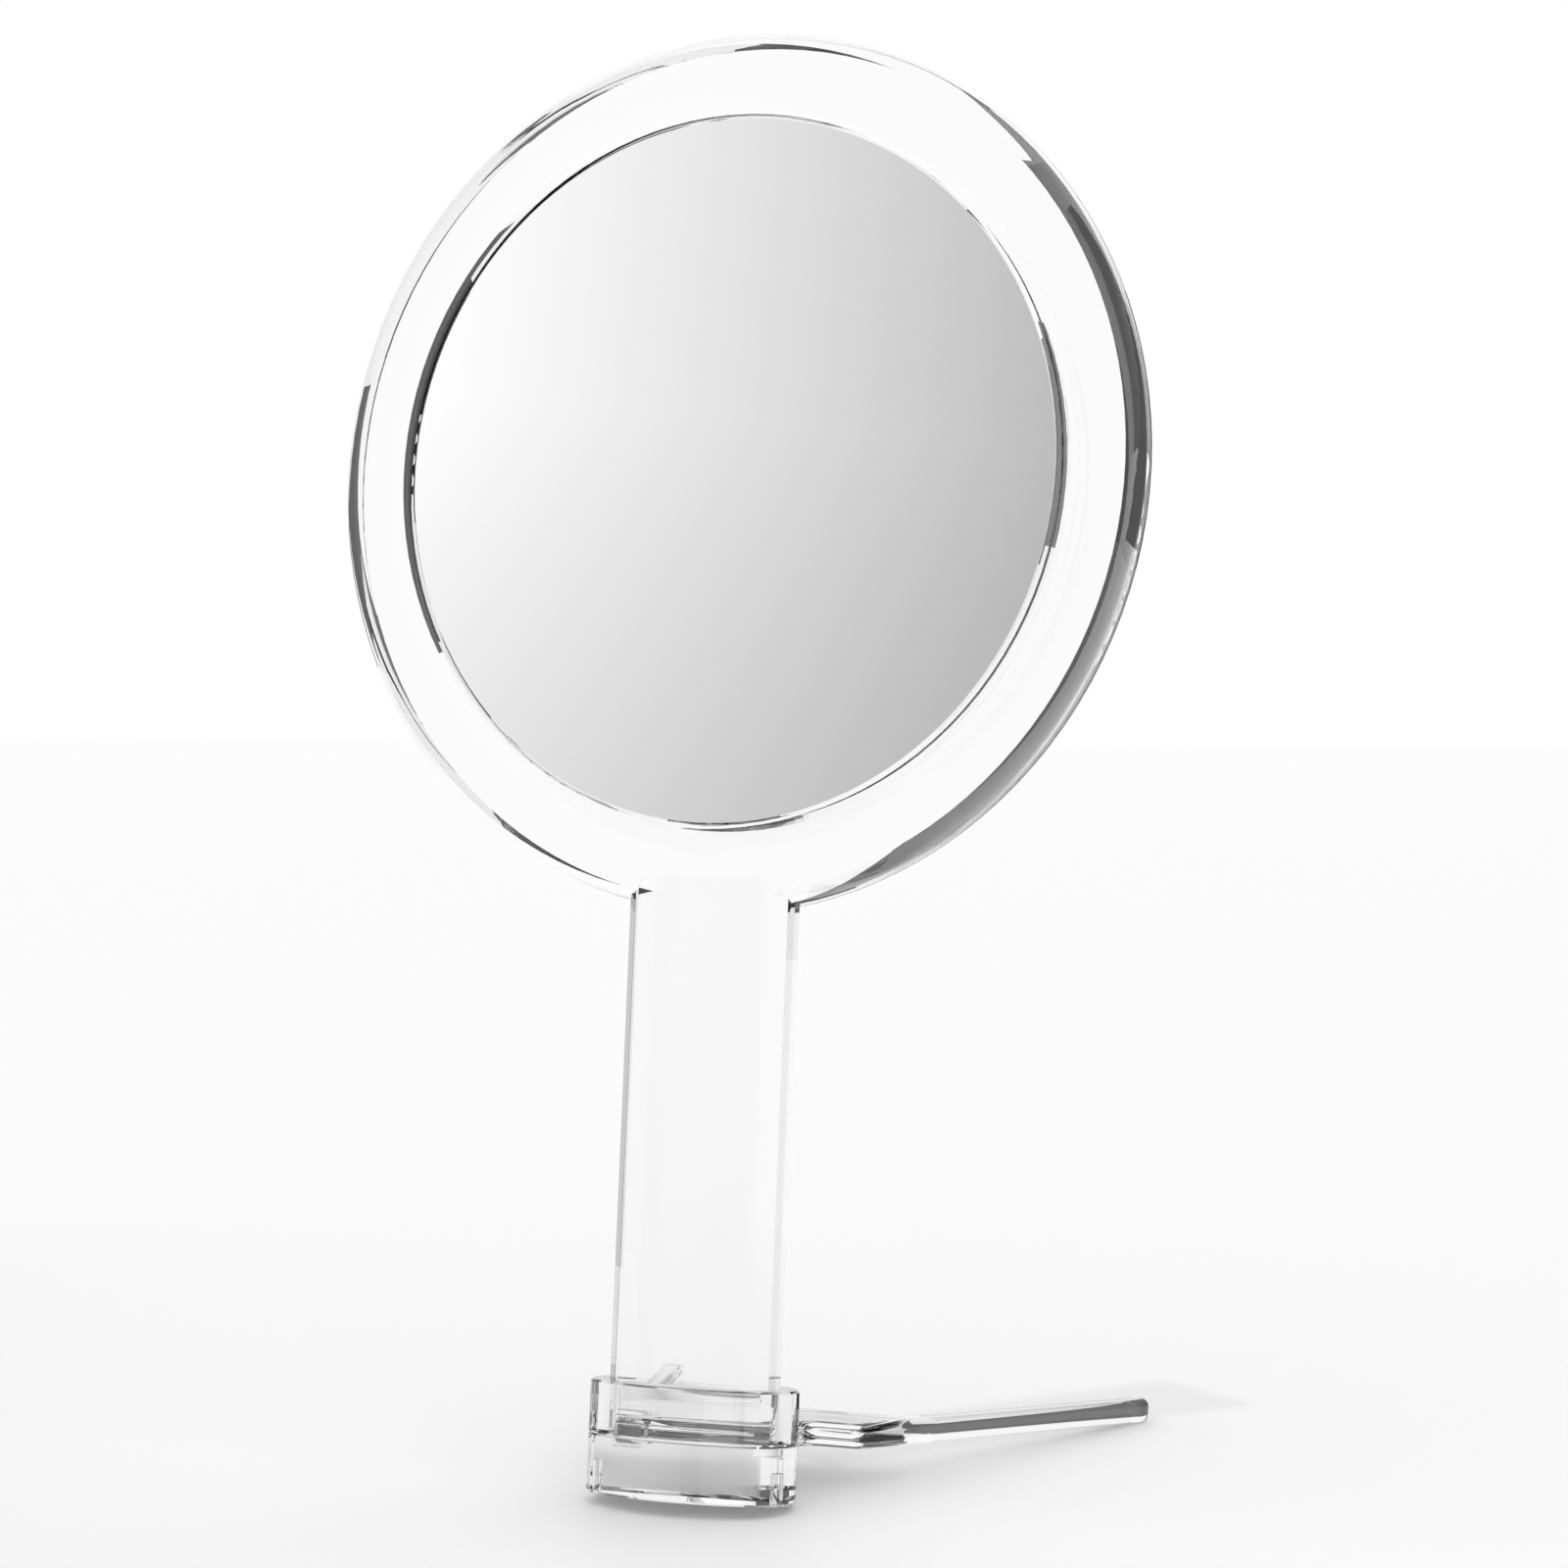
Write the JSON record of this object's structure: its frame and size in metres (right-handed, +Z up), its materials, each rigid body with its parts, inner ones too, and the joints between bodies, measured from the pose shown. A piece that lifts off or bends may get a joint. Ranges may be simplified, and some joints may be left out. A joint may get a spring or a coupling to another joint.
{
  "type": "standing hand mirror",
  "caption": "Round two-sided hand mirror in a clear ring with a flat handle, standing on a block foot with a fold-out wishbone leg.",
  "frame": {"origin": "middle of the stance on the table: halfway between the foot's front and the leg's tips, under the handle's plane of symmetry", "axes": "+Z up, -Y the way the front mirror looks (it leans back 7 degrees), X across the mirror, leg opened towards +Y"},
  "size_m": [0.1598, 0.1102, 0.2627],
  "materials": {
    "frame_clear": "clear polished acrylic",
    "foot_clear": "clear polished acrylic",
    "leg_clear": "clear polished acrylic",
    "rod_clear": "clear drawn acrylic rod",
    "tape_clear": "clear mounting tape",
    "mirror_silver": "silvered flat glass",
    "magnifier_silver": "silvered hollow-ground glass"
  },
  "bodies": {
    "mirror": {"frame": "frame_clear", "front_mirror": "mirror_silver", "rear_mirror": "magnifier_silver", "front_tape": "tape_clear", "rear_tape": "tape_clear", "foot_upper": "foot_clear", "foot_lower": "foot_clear"},
    "leg": {"stand_leg": "leg_clear", "hinge_rod": "rod_clear"}
  },
  "joints": [
    {"name": "leg_fold", "type": "hinge", "parent": "mirror", "child": "leg", "pos_m": [0, -0.03399, 0.01072], "axis": [1, 0, 0], "range_deg": [0, 88]}
  ]
}
